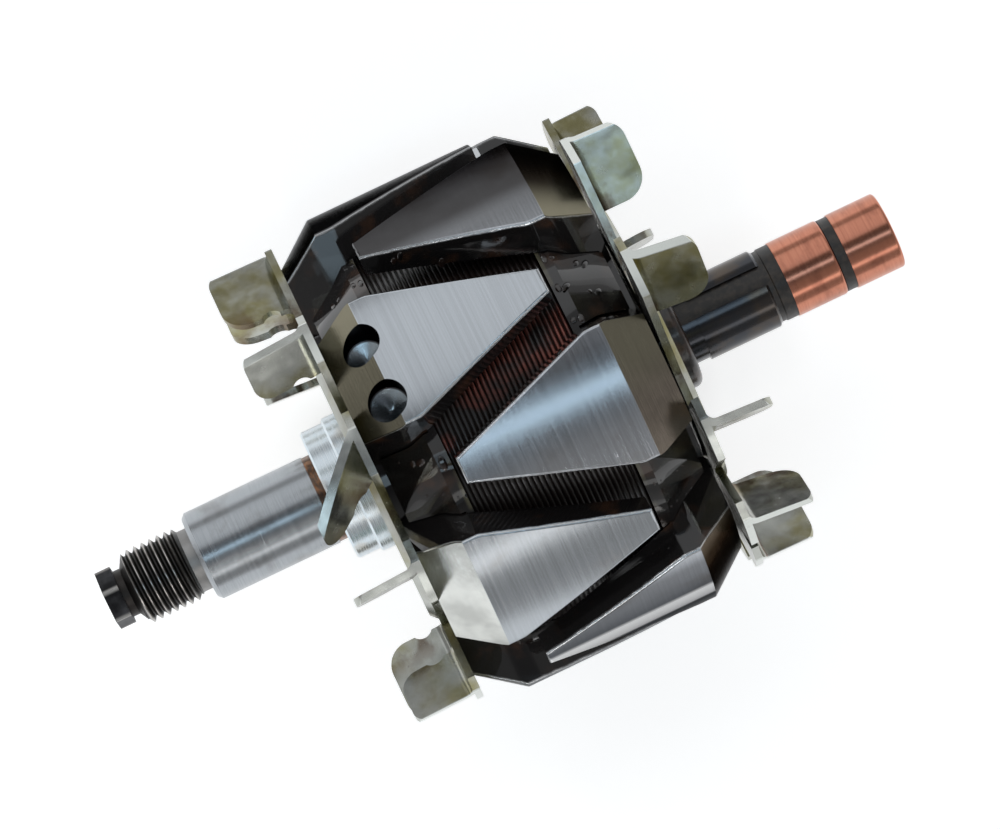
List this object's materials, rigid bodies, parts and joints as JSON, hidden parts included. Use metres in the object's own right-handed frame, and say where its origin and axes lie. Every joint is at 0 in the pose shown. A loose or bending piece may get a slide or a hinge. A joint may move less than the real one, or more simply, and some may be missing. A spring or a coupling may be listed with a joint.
{
  "type": "alternator rotor",
  "caption": "Claw-pole alternator rotor with its field winding, bent sheet fans at both ends, a threaded drive end and two copper slip rings.",
  "frame": {"origin": "on the shaft axis, at the middle of the long ground journal at the drive end", "axes": "+X along the shaft axis from the threaded drive end towards the slip rings; +Y is up in the picture and square to the shaft; +Z points out of the picture, towards the viewer"},
  "size_m": [0.156, 0.093, 0.093],
  "materials": {
    "shaft_steel": "satin",
    "pole_steel": "satin",
    "core_steel": "matte",
    "bobbin_plastic": "gloss",
    "winding_wire": "gloss",
    "zinc_steel": "satin",
    "collar_zinc": "satin",
    "black_moulding": "matte",
    "ring_copper": "satin"
  },
  "bodies": {
    "root": {"shaft": "shaft_steel", "drive_end_pole": "pole_steel", "slip_ring_end_pole": "pole_steel", "field_core": "core_steel", "coil_bobbin": "bobbin_plastic", "field_winding": "winding_wire", "spacer_collar": "collar_zinc", "drive_end_fan": "zinc_steel", "slip_ring_end_fan": "zinc_steel", "lead_retainer": "black_moulding", "slip_ring_moulding": "black_moulding", "slip_ring_inner": "ring_copper", "slip_ring_outer": "ring_copper", "start_lead": "winding_wire", "start_slot_filler": "black_moulding", "finish_lead": "winding_wire", "finish_slot_filler": "black_moulding"}
  },
  "joints": []
}
